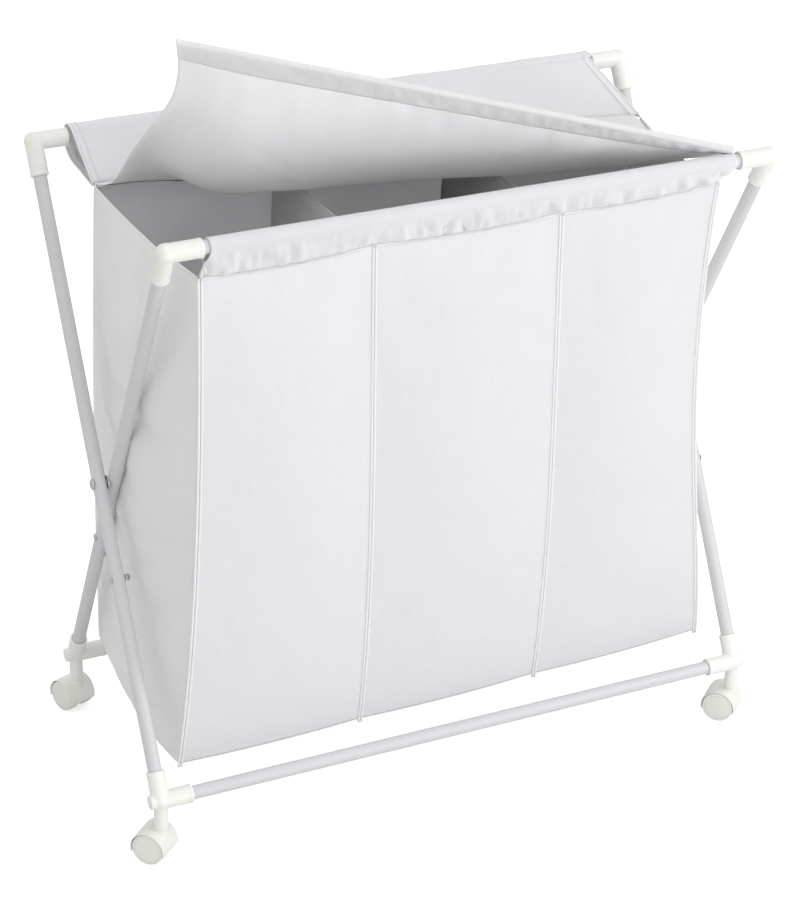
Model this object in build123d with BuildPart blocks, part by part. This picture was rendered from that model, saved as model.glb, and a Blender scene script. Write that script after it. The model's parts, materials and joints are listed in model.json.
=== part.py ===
"""Folding three-bag laundry sorter on casters.

Two tube frames cross as an X and turn on one bolt each side. A fabric bag with three
compartments hangs between their top rails, and a cloth lid is sewn along its back seam.
Millimetres, +Z up, -Y is the front, and the origin is the bottom centre of the whole object.
"""
from build123d import *
import os
from math import acos, atan2, cos, hypot, pi, radians, sin

os.makedirs("parts", exist_ok=True)

# The middle of the frames, measured from the middle of the whole object's box. The casters
# trail to the left and to the back, so the two middles are a little apart.
mid_x = 6.7
mid_y = -6.3

# Frame tubes
tube_radius = 8.0
tube_bore = 7.2
outer_half_width = 377.0
inner_half_width = 359.0
top_rail_y = 185.0
top_rail_z = 747.0
foot_y = 172.0
foot_z = 79.0
tube_end_gap = 12.0

# Plastic corner fittings
fitting_radius = 10.5
ball_radius = 11.0
socket_radius = 8.05
elbow_arm = 40.0
tee_leg_arm = 34.0
tee_rail_arm = 38.0
post_radius = 8.2
post_bottom_z = 44.0
socket_lip = 1.2
collar_width = 3.5
collar_step = 0.5
stem_socket_depth = 22.0
hub_radius = 8.5
hub_reach = 13.5

# Bolts
pivot_bolt_radius = 3.0
pivot_head_radius = 6.5
pivot_head_height = 2.8
pivot_nut_gap = 0.4
washer_radius = 8.0
leg_bolt_radius = 2.5
leg_bolt_head_radius = 4.2
leg_bolt_head_height = 2.0
nut_height = 5.0
head_taper = 30.0
bolt_below_pivot = 110.0
joint_below_pivot = 128.0
sleeve_radius = 7.1
sleeve_bore = 6.1
sleeve_half_length = 37.0

# Casters
wheel_radius = 19.3
wheel_inner_face = 5.1
wheel_outer_face = 18.7
wheel_width = wheel_outer_face - wheel_inner_face
hood_radius = 21.5
hood_cavity_radius = 20.1
hood_half_width = 19.0
web_half_width = 4.6
hood_cut_z = 13.0
caster_trail = 10.0
stem_radius = 3.5
axle_radius = 2.5
axle_end_recess = 2.2
hood_edge_round = 0.6
collar_radius = 8.6
collar_bottom_z = 26.0
collar_gap = 0.4
collar_taper = 4.0
stem_bottom_z = 25.0
stem_length = 40.0
wheel_edge_round = 1.2
groove_outer = 16.6
groove_inner = 15.6
groove_depth = 0.7
hub_outer = 7.0
rim_inner = 16.5
rim_depth = 8.0
wheel_web = 2.0

# Bag
cloth = 1.6
bag_half_width = 327.0
divider_x = 109.0
seam_y = 127.0
seam_z = 706.0
front_seam_y = -190.0
front_seam_z = 717.0
front_middle_y = -176.0
front_middle_z = 420.0
front_bottom_y = -125.0
front_bottom_z = 93.0
back_bottom_y = 150.0
back_bottom_z = 112.0
piping_width = 3.2
piping_depth = 2.0
front_loop_radius = 10.8
front_casing_half = 313.0
back_loop_radius = 14.0
back_loop_y = 182.0
back_loop_z = 750.0
back_casing_half = 333.0
seam_roll_radius = 1.75
tape_roll_radius = 1.6
tape_width = 25.0
tape_thickness = 2.0
divider_lift = 8.0

# Lid and the rod in its front hem
rod_radius = 2.5
rod_right = (308.0, -188.0, 763.0)
rod_left = (-315.0, -122.0, 945.0)

# Clearances between pieces that touch
drill_gap = 0.05
joint_gap = 0.1
hem_gap = 3.0
wall_gap = 0.6


def at(x, y, z):
    """A point given from the middle of the frames, in the object's frame."""
    return Vector(x + mid_x, y + mid_y, z)


# Local x is +Y, local y is +Z, and the normal is +X: profiles of the bag are drawn here.
side_plane = Plane(origin=(mid_x, mid_y, 0), x_dir=(0, 1, 0), z_dir=(1, 0, 0))


def save(name, part):
    part.part.label = name
    export_step(part.part, f"parts/{name}.step")


def cross_plane(side, x, y, z):
    """A plane across the width, whose normal points to the outside of the given side."""
    return Plane(origin=at(side * x, y, z), x_dir=(0, 1, 0), z_dir=(side, 0, 0))


def pipe(name, start, end, radius, bore, holes=()):
    """A straight tube with round holes drilled through it along X: (point, radius) each."""
    run = end - start
    with BuildPart() as tube:
        with BuildSketch(Plane(origin=start, z_dir=run)):
            Circle(radius)
            Circle(bore, mode=Mode.SUBTRACT)
        extrude(amount=run.length)
        for point, hole_radius in holes:
            with BuildSketch(Plane(origin=point, x_dir=(0, 1, 0), z_dir=(1, 0, 0))):
                Circle(hole_radius)
            extrude(amount=2 * radius, both=True, mode=Mode.SUBTRACT)
    save(name, tube)


def fitting(name, corner, arms, post_bottom=None):
    """A moulded corner with a socket along each arm: (unit direction, length) each."""
    with BuildPart() as body:
        with Locations(corner):
            Sphere(ball_radius)
        for direction, length in arms:
            with BuildSketch(Plane(origin=corner, z_dir=direction)):
                Circle(fitting_radius)
            extrude(amount=length)
            collar = corner + direction * (length - collar_width)
            with BuildSketch(Plane(origin=collar, z_dir=direction)):
                Circle(fitting_radius + collar_step)
            extrude(amount=collar_width - socket_lip)
        if post_bottom is not None:
            with BuildSketch(Plane(origin=corner, z_dir=(0, 0, -1))):
                Circle(post_radius)
            extrude(amount=corner.Z - post_bottom)
            with BuildSketch(Plane(origin=corner, z_dir=arms[0][0] * -1)):
                Circle(hub_radius)
            extrude(amount=hub_reach)
        for direction, length in arms:
            with BuildSketch(Plane(origin=corner + direction * tube_end_gap, z_dir=direction)):
                Circle(socket_radius)
            extrude(amount=length, mode=Mode.SUBTRACT)
        if post_bottom is not None:
            with BuildSketch(Plane(origin=(corner.X, corner.Y, post_bottom), z_dir=(0, 0, 1))):
                Circle(stem_radius + drill_gap)
            extrude(amount=stem_socket_depth, mode=Mode.SUBTRACT)
    save(name, body)


def bolts(name, y, z, outer_x, inner_x, shaft_radius, head_radius, head_height, gap):
    """A through bolt on each side, with a domed head outside and a domed nut inside."""
    with BuildPart() as pair:
        for side in (-1, 1):
            with BuildSketch(cross_plane(side, inner_x - gap - nut_height, y, z)):
                RegularPolygon(head_radius, 6, major_radius=True)
            extrude(amount=nut_height)
            with BuildSketch(cross_plane(side, inner_x - gap - 1, y, z)):
                Circle(shaft_radius)
            extrude(amount=outer_x - inner_x + gap + 2)
            with BuildSketch(cross_plane(side, outer_x, y, z)):
                Circle(head_radius)
            extrude(amount=head_height, taper=head_taper)
    save(name, pair)


# ---- The two frames ------------------------------------------------------------------------
# Each frame is a rectangle of tubes: its feet are at the bottom rail and its head at the top
# rail. The outer frame runs from the front foot to the back rail, the inner one the other way.
leg_rise = top_rail_z - foot_z
pivot_share = foot_y / (foot_y + top_rail_y)
pivot_z = foot_z + pivot_share * leg_rise

for frame, half_width, lean in (("outer", outer_half_width, 1), ("inner", inner_half_width, -1)):
    head_y = lean * top_rail_y
    toe_y = -lean * foot_y
    rail_reach = half_width - tube_end_gap
    pipe(f"{frame}_top_rail", at(-rail_reach, head_y, top_rail_z),
         at(rail_reach, head_y, top_rail_z), tube_radius, tube_bore)
    pipe(f"{frame}_bottom_rail", at(-rail_reach, toe_y, foot_z),
         at(rail_reach, toe_y, foot_z), tube_radius, tube_bore)

    up_leg = (at(0, head_y, top_rail_z) - at(0, toe_y, foot_z)).normalized()
    leg_length = (at(0, head_y, top_rail_z) - at(0, toe_y, foot_z)).length
    pivot_along = pivot_share * leg_length
    pivot_clearance = drill_gap if frame == "outer" else 2 * drill_gap
    for side_name, side in (("left", -1), ("right", 1)):
        foot = at(side * half_width, toe_y, foot_z)
        head = at(side * half_width, head_y, top_rail_z)
        inward = Vector(-side, 0, 0)
        joint = foot + up_leg * (pivot_along - joint_below_pivot)
        bolt_point = foot + up_leg * (pivot_along - bolt_below_pivot)
        pivot_point = foot + up_leg * pivot_along
        pipe(f"{frame}_lower_leg_{side_name}", foot + up_leg * tube_end_gap,
             joint - up_leg * joint_gap / 2, tube_radius, tube_bore)
        pipe(f"{frame}_upper_leg_{side_name}", joint + up_leg * joint_gap / 2,
             head - up_leg * tube_end_gap, tube_radius, tube_bore,
             holes=((bolt_point, leg_bolt_radius + drill_gap),
                    (pivot_point, pivot_bolt_radius + pivot_clearance)))
        fitting(f"{frame}_elbow_{side_name}", head,
                ((inward, elbow_arm), (up_leg * -1, elbow_arm)))
        fitting(f"{frame}_tee_{side_name}", foot,
                ((inward, tee_rail_arm), (up_leg, tee_leg_arm)), post_bottom_z)

    # The short tube that joins the two halves of each leg from inside
    with BuildPart() as sleeves:
        for side in (-1, 1):
            centre = at(side * half_width, toe_y, foot_z) + up_leg * (pivot_along - joint_below_pivot)
            with BuildSketch(Plane(origin=centre, z_dir=up_leg)):
                Circle(sleeve_radius)
                Circle(sleeve_bore, mode=Mode.SUBTRACT)
            extrude(amount=sleeve_half_length, both=True)
            drill = centre + up_leg * (joint_below_pivot - bolt_below_pivot)
            with BuildSketch(Plane(origin=drill, x_dir=(0, 1, 0), z_dir=(1, 0, 0))):
                Circle(leg_bolt_radius + drill_gap)
            extrude(amount=2 * tube_radius, both=True, mode=Mode.SUBTRACT)
    save(f"{frame}_leg_sleeves", sleeves)

    bolt_share = (pivot_along - bolt_below_pivot) / leg_length
    bolts(f"{frame}_leg_bolts", toe_y + bolt_share * (head_y - toe_y), foot_z + bolt_share * leg_rise,
          half_width + tube_radius, half_width - tube_radius,
          leg_bolt_radius, leg_bolt_head_radius, leg_bolt_head_height, 0)

# ---- The pivot -----------------------------------------------------------------------------
bolts("pivot_bolts", 0, pivot_z, outer_half_width + tube_radius, inner_half_width - tube_radius,
      pivot_bolt_radius, pivot_head_radius, pivot_head_height, pivot_nut_gap)

washer_gap = outer_half_width - inner_half_width - 2 * tube_radius
with BuildPart() as pivot_washers:
    for side in (-1, 1):
        with BuildSketch(cross_plane(side, inner_half_width + tube_radius + joint_gap / 2, 0, pivot_z)):
            Circle(washer_radius)
            Circle(pivot_bolt_radius + drill_gap, mode=Mode.SUBTRACT)
        extrude(amount=washer_gap - joint_gap)
save("pivot_washers", pivot_washers)

# ---- Casters -------------------------------------------------------------------------------
# A hood with a stem turns in the tee's post, and two wheels turn on an axle through its web.
# The angle is that of the axle, from -X towards -Y; the wheels trail behind the stem.
for place, x, y, axle_angle in (
    ("front_left", -outer_half_width, -foot_y, 42),
    ("front_right", outer_half_width, -foot_y, 42),
    ("back_left", -inner_half_width, foot_y, 20),
    ("back_right", inner_half_width, foot_y, 32),
):
    axle = Vector(-cos(radians(axle_angle)), -sin(radians(axle_angle)), 0)
    ahead = Vector(sin(radians(axle_angle)), -cos(radians(axle_angle)), 0)
    post = at(x, y, 0)
    hub = post - ahead * caster_trail + Vector(0, 0, wheel_radius)
    # Local x runs ahead, local y runs up, and the normal is the axle.
    wheel_plane = Plane(origin=hub, x_dir=ahead, z_dir=axle)
    with BuildPart() as hood:
        with BuildSketch(wheel_plane):
            Circle(hood_radius)
        extrude(amount=hood_half_width, both=True)
        fillet(hood.edges().filter_by(GeomType.CIRCLE), hood_edge_round)
        with BuildSketch(Plane(origin=post + Vector(0, 0, collar_bottom_z), z_dir=(0, 0, 1))):
            Circle(collar_radius)
        extrude(amount=post_bottom_z - collar_bottom_z - collar_gap, taper=collar_taper)
        for face_side in (-1, 1):
            with BuildSketch(wheel_plane.offset(face_side * web_half_width)):
                Circle(hood_cavity_radius)
            extrude(amount=face_side * hood_half_width, mode=Mode.SUBTRACT)
        hood_bottom = hub - Vector(0, 0, wheel_radius - hood_cut_z)
        with BuildSketch(Plane(origin=hood_bottom, z_dir=(0, 0, -1))):
            Circle(2 * hood_radius)
        extrude(amount=hood_radius, mode=Mode.SUBTRACT)
        with BuildSketch(wheel_plane):
            Circle(axle_radius + drill_gap)
        extrude(amount=hood_half_width, both=True, mode=Mode.SUBTRACT)
        with BuildSketch(Plane(origin=post + Vector(0, 0, stem_bottom_z), z_dir=(0, 0, 1))):
            Circle(stem_radius)
        extrude(amount=post_bottom_z, mode=Mode.SUBTRACT)
    save(f"{place}_caster_hood", hood)

    with BuildPart() as stem:
        stem_start = post + Vector(0, 0, stem_bottom_z + 2 * joint_gap)
        with BuildSketch(Plane(origin=stem_start, z_dir=(0, 0, 1))):
            Circle(stem_radius)
        extrude(amount=stem_length)
        chamfer(stem.edges().group_by(Axis.Z)[-1], 1.0)
    save(f"{place}_caster_stem", stem)

    with BuildPart() as pin:
        with BuildSketch(wheel_plane):
            Circle(axle_radius)
        extrude(amount=wheel_outer_face - axle_end_recess, both=True)
    save(f"{place}_caster_axle", pin)

    with BuildPart() as wheels:
        for face_side in (-1, 1):
            with BuildSketch(wheel_plane.offset(face_side * wheel_inner_face)):
                Circle(wheel_radius)
            extrude(amount=face_side * wheel_width)
        fillet(wheels.edges().filter_by(GeomType.CIRCLE), wheel_edge_round)
        for face_side in (-1, 1):
            with BuildSketch(wheel_plane.offset(face_side * wheel_outer_face)):
                Circle(groove_outer)
                Circle(groove_inner, mode=Mode.SUBTRACT)
            extrude(amount=-face_side * groove_depth, mode=Mode.SUBTRACT)
            with BuildSketch(wheel_plane.offset(face_side * wheel_inner_face)):
                Circle(axle_radius + drill_gap)
            extrude(amount=face_side * (wheel_width - wheel_web), mode=Mode.SUBTRACT)
            with BuildSketch(wheel_plane.offset(face_side * wheel_inner_face)):
                Circle(rim_inner)
                Circle(hub_outer, mode=Mode.SUBTRACT)
            extrude(amount=face_side * rim_depth, mode=Mode.SUBTRACT)
    save(f"{place}_caster_wheels", wheels)

# ---- Bag -----------------------------------------------------------------------------------


def back_y(z, inset):
    """The back panel's place at a height, moved inwards."""
    share = (seam_z - z) / (seam_z - back_bottom_z)
    return seam_y + share * (back_bottom_y - seam_y) - inset


def curved_strip(inset, depth):
    """A closed profile that follows the front panel's curve, from inset to inset + depth."""
    with BuildSketch() as strip:
        with BuildLine():
            for shift in (inset, inset + depth):
                ThreePointArc((front_seam_y + shift, front_seam_z),
                              (front_middle_y + shift, front_middle_z),
                              (front_bottom_y + shift, front_bottom_z))
            for end_y, end_z in ((front_bottom_y, front_bottom_z), (front_seam_y, front_seam_z)):
                Line((end_y + inset, end_z), (end_y + inset + depth, end_z))
        make_face()
    return strip.sketch


def wall_profile(clearance):
    """The closed profile of a side panel or divider, between the front and back panels."""
    inset = cloth + clearance
    top_z = seam_z - hem_gap
    bottom_front = (front_bottom_y + inset, front_bottom_z)
    bottom_back = (back_y(back_bottom_z, inset), back_bottom_z)
    top_back = (back_y(top_z, inset), top_z)
    top_front = (front_seam_y + inset, front_seam_z)
    with BuildSketch() as wall:
        with BuildLine():
            ThreePointArc(top_front, (front_middle_y + inset, front_middle_z), bottom_front)
            Polyline(bottom_front, bottom_back, top_back, top_front)
        make_face()
    return wall.sketch


with BuildPart() as front_panel:
    with BuildSketch(side_plane):
        add(curved_strip(0, cloth))
    extrude(amount=bag_half_width, both=True)
save("front_panel", front_panel)

with BuildPart() as front_piping:
    edge_x = bag_half_width - piping_width / 2
    for x in (-edge_x, -divider_x, divider_x, edge_x):
        with BuildSketch(side_plane.offset(x - piping_width / 2)):
            add(curved_strip(-piping_depth - drill_gap, piping_depth))
        extrude(amount=piping_width)
save("front_piping", front_piping)

with BuildPart() as back_panel:
    with BuildSketch(side_plane):
        back_top_z = seam_z - hem_gap
        Polygon((back_y(back_top_z, 0), back_top_z), (back_y(back_bottom_z, 0), back_bottom_z),
                (back_y(back_bottom_z, cloth), back_bottom_z), (back_y(back_top_z, cloth), back_top_z),
                align=None)
    extrude(amount=bag_half_width, both=True)
save("back_panel", back_panel)


for side_name, side in (("left", -1), ("right", 1)):
    with BuildPart() as side_panel:
        with BuildSketch(side_plane.offset(side * bag_half_width)):
            add(wall_profile(wall_gap))
        extrude(amount=-side * cloth)
    save(f"side_panel_{side_name}", side_panel)

    with BuildPart() as divider:
        with BuildSketch(side_plane.offset(side * divider_x)):
            add(wall_profile(wall_gap + drill_gap))
        extrude(amount=cloth / 2, both=True)
        # The dividers end just above the bottom panel.
        with BuildSketch(side_plane):
            Polygon((-top_rail_y, 0), (top_rail_y, 0), (top_rail_y, back_bottom_z + divider_lift),
                    (-top_rail_y, front_bottom_z + divider_lift), align=None)
        extrude(amount=bag_half_width, both=True, mode=Mode.SUBTRACT)
    save(f"divider_{side_name}", divider)

with BuildPart() as bottom_panel:
    with BuildSketch(side_plane):
        floor_front = front_bottom_y + hem_gap
        floor_back = back_y(back_bottom_z, hem_gap)
        Polygon((floor_front, front_bottom_z + 1), (floor_back, back_bottom_z + 1),
                (floor_back, back_bottom_z + 1 + 2 * cloth), (floor_front, front_bottom_z + 1 + 2 * cloth),
                align=None)
    extrude(amount=bag_half_width - cloth - wall_gap, both=True)
save("bottom_panel", bottom_panel)


def loop_outline(loop, loop_radius, tip, tip_radius):
    """The outline of a belt laid round two circles, as a face."""
    gap_y, gap_z = tip[0] - loop[0], tip[1] - loop[1]
    towards = atan2(gap_z, gap_y)
    wrap = acos((loop_radius - tip_radius) / hypot(gap_y, gap_z))

    def on(centre, radius, angle):
        return (centre[0] + radius * cos(angle), centre[1] + radius * sin(angle))

    with BuildSketch() as outline:
        with BuildLine():
            ThreePointArc(on(loop, loop_radius, towards + wrap), on(loop, loop_radius, towards + pi),
                          on(loop, loop_radius, towards - wrap))
            Line(on(loop, loop_radius, towards - wrap), on(tip, tip_radius, towards - wrap))
            ThreePointArc(on(tip, tip_radius, towards - wrap), on(tip, tip_radius, towards),
                          on(tip, tip_radius, towards + wrap))
            Line(on(tip, tip_radius, towards + wrap), on(loop, loop_radius, towards + wrap))
        make_face()
    return outline.sketch


def casing(name, loop, loop_radius, tip, half_length):
    """A sewn sleeve: a loop of cloth round a rail whose two layers meet at the seam."""
    with BuildPart() as sleeve:
        with BuildSketch(side_plane):
            add(loop_outline(loop, loop_radius, tip, seam_roll_radius))
            add(loop_outline(loop, loop_radius - cloth, tip, seam_roll_radius - cloth),
                mode=Mode.SUBTRACT)
        extrude(amount=half_length, both=True)
    save(name, sleeve)


casing("front_casing", (-top_rail_y, top_rail_z), front_loop_radius,
       (front_seam_y + cloth / 2, front_seam_z + 2.3), front_casing_half)
casing("back_casing", (back_loop_y, back_loop_z), back_loop_radius,
       (seam_y + 4.5, seam_z + 3.4), back_casing_half)

# ---- Lid -----------------------------------------------------------------------------------
# The seam tape: a roll along the seam with its flat edge lying forwards under the lid
with BuildPart() as lid_binding:
    with BuildSketch(side_plane):
        with Locations((seam_y, seam_z)):
            Circle(tape_roll_radius)
        with Locations((seam_y - tape_width / 2, seam_z)):
            Rectangle(tape_width, tape_thickness)
    extrude(amount=bag_half_width - 1, both=True)
save("lid_binding", lid_binding)

# The lid is a ruled sheet between its raised left hem and its right hem on the front rail.
left_hem = ((124.0, 709.5), (4.0, 828.0), (-80.0, 880.0), (-116.5, 938.5))
right_hem = ((124.0, 709.5), (20.0, 716.0), (-90.0, 737.0), (-181.0, 762.0))


def hem_section(points):
    """A thin closed section that follows the hem's points, one cloth thickness deep."""
    with BuildSketch() as section:
        Polygon(*points, *((y, z + cloth) for y, z in reversed(points)), align=None)
    return section.sketch


with BuildPart() as lid_cloth:
    with BuildSketch(side_plane.offset(-bag_half_width + 4)):
        add(hem_section(left_hem))
    with BuildSketch(side_plane.offset(bag_half_width - 12)):
        add(hem_section(right_hem))
    loft(ruled=True)
save("lid_cloth", lid_cloth)

with BuildPart() as lid_rod:
    rod_run = at(*rod_left) - at(*rod_right)
    with BuildSketch(Plane(origin=at(*rod_right), z_dir=rod_run)):
        Circle(rod_radius)
    extrude(amount=rod_run.length)
save("lid_rod", lid_rod)
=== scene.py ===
"""Looks for a folding three-bag laundry sorter: two crossed tube frames on casters, a sewn
fabric bag hung between their top rails, and a cloth lid with a rod in its front hem."""
import json
from functools import partial
from math import acos, atan2, cos, hypot, pi, radians, sin

import bmesh
import bpy
import numpy as np
from mathutils import Matrix, Vector, noise


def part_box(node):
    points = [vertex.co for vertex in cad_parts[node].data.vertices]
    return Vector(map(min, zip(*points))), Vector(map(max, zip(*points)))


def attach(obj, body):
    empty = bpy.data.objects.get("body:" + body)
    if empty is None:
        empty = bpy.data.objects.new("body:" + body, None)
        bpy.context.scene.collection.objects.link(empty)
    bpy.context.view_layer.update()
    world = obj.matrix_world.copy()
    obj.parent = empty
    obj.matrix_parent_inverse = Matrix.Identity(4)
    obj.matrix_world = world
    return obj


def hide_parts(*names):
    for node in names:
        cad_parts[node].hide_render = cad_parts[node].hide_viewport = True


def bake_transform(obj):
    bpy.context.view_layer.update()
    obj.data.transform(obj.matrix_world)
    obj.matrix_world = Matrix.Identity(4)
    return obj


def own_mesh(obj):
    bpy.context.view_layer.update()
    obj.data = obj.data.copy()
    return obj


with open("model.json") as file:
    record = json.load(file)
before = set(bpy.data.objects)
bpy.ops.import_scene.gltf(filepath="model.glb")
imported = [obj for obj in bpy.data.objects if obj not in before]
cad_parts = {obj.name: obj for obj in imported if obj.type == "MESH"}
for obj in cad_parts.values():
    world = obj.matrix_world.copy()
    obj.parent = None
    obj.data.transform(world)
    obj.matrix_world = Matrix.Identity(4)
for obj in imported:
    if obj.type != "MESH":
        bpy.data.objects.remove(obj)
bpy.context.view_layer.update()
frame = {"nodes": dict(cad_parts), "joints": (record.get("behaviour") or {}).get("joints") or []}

# ---- Frame tubes ----
# The legs and rails are 16 mm steel tube, cut to length and powder coated in satin white.
# The coat has a fine orange-peel surface and is a little greyer where it is handled.


def new_group(name, inputs, outputs):
    """A shader node group with named inputs (name, kind, value) and outputs (name, kind)."""
    tree = bpy.data.node_groups.new(name, "ShaderNodeTree")
    for label, kind, value in inputs:
        tree.interface.new_socket(label, in_out="INPUT", socket_type=kind).default_value = value
    for label, kind in outputs:
        tree.interface.new_socket(label, in_out="OUTPUT", socket_type=kind)
    return tree, tree.nodes.new("NodeGroupInput"), tree.nodes.new("NodeGroupOutput")


def feed(tree, value, socket):
    """A number or another socket goes into a socket."""
    if isinstance(value, (int, float)):
        socket.default_value = value
    else:
        tree.links.new(value, socket)


def maths(tree, operation, *values):
    """A math node fed with sockets or numbers; returns its result."""
    node = tree.nodes.new("ShaderNodeMath")
    node.operation = operation
    for socket, value in zip(node.inputs, values):
        feed(tree, value, socket)
    return node.outputs[0]


def grain(tree, vector, scale, detail):
    """A noise node's value over a vector."""
    node = tree.nodes.new("ShaderNodeTexNoise")
    tree.links.new(vector, node.inputs["Vector"])
    feed(tree, scale, node.inputs["Scale"])
    node.inputs["Detail"].default_value = detail
    return node.outputs["Fac"]


def tinted(tree, colour, shade):
    """A colour multiplied by a grey value."""
    node = tree.nodes.new("ShaderNodeVectorMath")
    node.operation = "SCALE"
    tree.links.new(colour, node.inputs[0])
    tree.links.new(shade, node.inputs["Scale"])
    return node.outputs[0]


def hard_surface_group():
    """Coated or moulded surface: fine texture, broad dulling from hands and a soft colour drift."""
    tree, given, result = new_group(
        "handled surface",
        (("Colour", "NodeSocketColor", (0.8, 0.8, 0.8, 1)), ("Roughness", "NodeSocketFloat", 0.4),
         ("Texture scale", "NodeSocketFloat", 900.0), ("Dulling", "NodeSocketFloat", 0.1)),
        (("Colour", "NodeSocketColor"), ("Roughness", "NodeSocketFloat"), ("Height", "NodeSocketFloat")))
    place = tree.nodes.new("ShaderNodeTexCoord").outputs["Object"]
    broad = grain(tree, place, 9.0, 3.0)
    blotch = grain(tree, place, 60.0, 4.0)
    drift = maths(tree, "MULTIPLY_ADD", broad, 0.05, 0.975)
    tree.links.new(tinted(tree, given.outputs["Colour"], drift), result.inputs["Colour"])
    dull = maths(tree, "MULTIPLY", given.outputs["Dulling"], maths(tree, "SUBTRACT", blotch, 0.4))
    tree.links.new(maths(tree, "ADD", given.outputs["Roughness"], dull), result.inputs["Roughness"])
    tree.links.new(grain(tree, place, given.outputs["Texture scale"], 2.0), result.inputs["Height"])
    return tree


def set_inputs(node, values):
    """A node's inputs by name."""
    for label, value in values.items():
        node.inputs[label].default_value = value


def material(name, roughness, group, bump, surface, **values):
    """A Principled material whose colour, roughness and bump come from a node group. The surface
    dictionary gives the shader's other inputs."""
    made = bpy.data.materials.new(name)
    made.use_nodes = True
    tree = made.node_tree
    shader = tree.nodes["Principled BSDF"]
    effect = tree.nodes.new("ShaderNodeGroup")
    effect.node_tree = group
    set_inputs(effect, {label.replace("_", " "): value for label, value in values.items()})
    set_inputs(effect, {"Roughness": roughness})
    relief = tree.nodes.new("ShaderNodeBump")
    set_inputs(relief, {"Strength": bump[0], "Distance": bump[1]})
    tree.links.new(effect.outputs["Colour"], shader.inputs["Base Color"])
    tree.links.new(effect.outputs["Roughness"], shader.inputs["Roughness"])
    tree.links.new(effect.outputs["Height"], relief.inputs["Height"])
    tree.links.new(relief.outputs["Normal"], shader.inputs["Normal"])
    set_inputs(shader, surface)
    return made


handled = hard_surface_group()
powder_coat = material("white powder coat", 0.38, handled, (0.25, 0.00006),
                       {"Coat Weight": 0.15, "Coat Roughness": 0.3},
                       Colour=(0.64, 0.645, 0.66, 1), Texture_scale=1400.0, Dulling=0.12)


def refinish(node, finish):
    """A CAD node that keeps its shape takes a finish."""
    mesh = frame["nodes"][node].data
    mesh.materials.clear()
    mesh.materials.append(finish)


for frame_name in ("outer", "inner"):
    for member in ("top_rail", "bottom_rail", "lower_leg_left", "lower_leg_right",
                   "upper_leg_left", "upper_leg_right"):
        refinish(f"{frame_name}_{member}", powder_coat)

# ---- Corner fittings ----
# Elbows and tees are injection moulded in warm white plastic, so every edge is a soft radius.
# The tubes are pushed into their sockets; each socket has a shallow ring round its mouth.


def applied(piece):
    """The piece with its modifiers applied for good."""
    graph = bpy.context.evaluated_depsgraph_get()
    mesh = bpy.data.meshes.new_from_object(piece.evaluated_get(graph), preserve_all_data_layers=True,
                                           depsgraph=graph)
    piece.modifiers.clear()
    piece.data = mesh
    return piece


def linked(name, data):
    """A new object in the scene."""
    made = bpy.data.objects.new(name, data)
    bpy.context.scene.collection.objects.link(made)
    return made


def add_object(name, mesh, finish):
    """A mesh piece with one finish."""
    piece = linked(name, mesh)
    mesh.materials.clear()
    mesh.materials.append(finish)
    return piece


def finish_piece(piece, body, slot, *nodes):
    """The piece is shaded smooth, moves with its body and stands for its CAD nodes."""
    piece.data.polygons.foreach_set("use_smooth", [True] * len(piece.data.polygons))
    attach(piece, body)
    if nodes:
        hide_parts(*nodes)
    return piece


def moulding(node, name, voxel, softening, finish):
    """A moulded copy of a CAD node, with every edge and inner corner rounded."""
    mesh = frame["nodes"][node].data.copy()
    shape = bmesh.new()
    shape.from_mesh(mesh)
    bmesh.ops.remove_doubles(shape, verts=shape.verts, dist=0.000002)
    shape.to_mesh(mesh)
    shape.free()
    piece = add_object(name, mesh, finish)
    remesh = piece.modifiers.new("skin", "REMESH")
    remesh.mode = "VOXEL"
    remesh.voxel_size = voxel
    soften = piece.modifiers.new("soften", "SMOOTH")
    soften.factor = 0.5
    soften.iterations = softening
    applied(piece)
    piece.data.materials.clear()
    piece.data.materials.append(finish)
    return piece


ivory_plastic = material("warm white moulded plastic", 0.33, handled, (0.12, 0.00005),
                         {"Specular IOR Level": 0.45, "Subsurface Weight": 0.06, "Subsurface Scale": 1.0,
                          "Subsurface Radius": (0.004, 0.004, 0.003)},
                         Colour=(0.87, 0.87, 0.825, 1), Texture_scale=700.0, Dulling=0.15)

for frame_name in ("outer", "inner"):
    for side_name in ("left", "right"):
        for kind in ("elbow", "tee"):
            node = f"{frame_name}_{kind}_{side_name}"
            fitting = moulding(node, f"{node}_moulding", 0.0008, 5, ivory_plastic)
            finish_piece(fitting, f"{frame_name}_frame", "fitting_plastic", node)

# ---- Casters ----
# Twin-wheel casters: a moulded hood turns on a steel stem in the tee's post, and two plain
# discs with a raised centre and a turned ring run on a steel axle through the hood's web.
caster_plastic = material("caster plastic", 0.36, handled, (0.12, 0.00005), {"Specular IOR Level": 0.4},
                          Colour=(0.85, 0.85, 0.805, 1), Texture_scale=700.0, Dulling=0.15)
wheel_nylon = material("wheel nylon", 0.42, handled, (0.2, 0.00008), {"Specular IOR Level": 0.4},
                       Colour=(0.84, 0.84, 0.785, 1), Texture_scale=500.0, Dulling=0.2)
caster_places = ("front_left", "front_right", "back_left", "back_right")


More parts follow.
